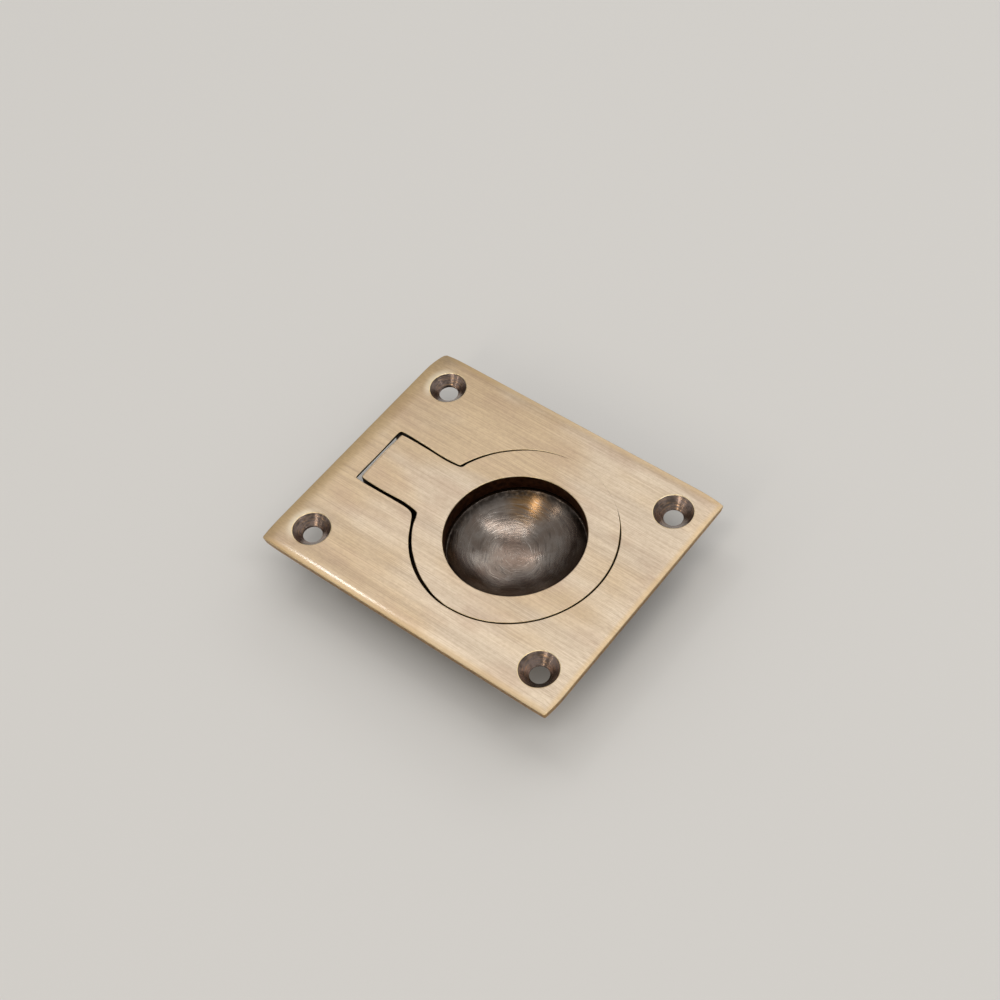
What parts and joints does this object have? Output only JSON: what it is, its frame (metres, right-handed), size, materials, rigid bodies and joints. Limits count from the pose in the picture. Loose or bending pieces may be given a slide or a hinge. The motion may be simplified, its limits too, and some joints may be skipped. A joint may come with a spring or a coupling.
{
  "type": "recessed pull handle",
  "caption": "Rectangular cast brass flush pull with countersunk screw holes, a round finger cup and a flush ring that lifts on a hinged stem.",
  "frame": {"origin": "centre of the pattern of screw holes, on the plate's underside, which beds on the wood", "axes": "+Z points out of the door or drawer; +X runs along the plate from the hinge pin to the free end of the ring"},
  "size_m": [0.076, 0.0616, 0.0138],
  "materials": {
    "plate_brass": "satin, brushed lengthwise, antiqued; cup and countersinks dark bronze",
    "ring_brass": "satin, brushed lengthwise with the plate",
    "pin_brass": "drawn rod, antiqued"
  },
  "bodies": {
    "plate": {"backplate": "plate_brass", "pivot_pin": "pin_brass"},
    "ring": {"ring_handle": "ring_brass"}
  },
  "joints": [
    {"name": "ring_lift", "type": "hinge", "parent": "plate", "child": "ring", "pos_m": [-0.02662, 0, -0.0017], "axis": [0, -1, 0], "range_deg": [0, 94]}
  ]
}
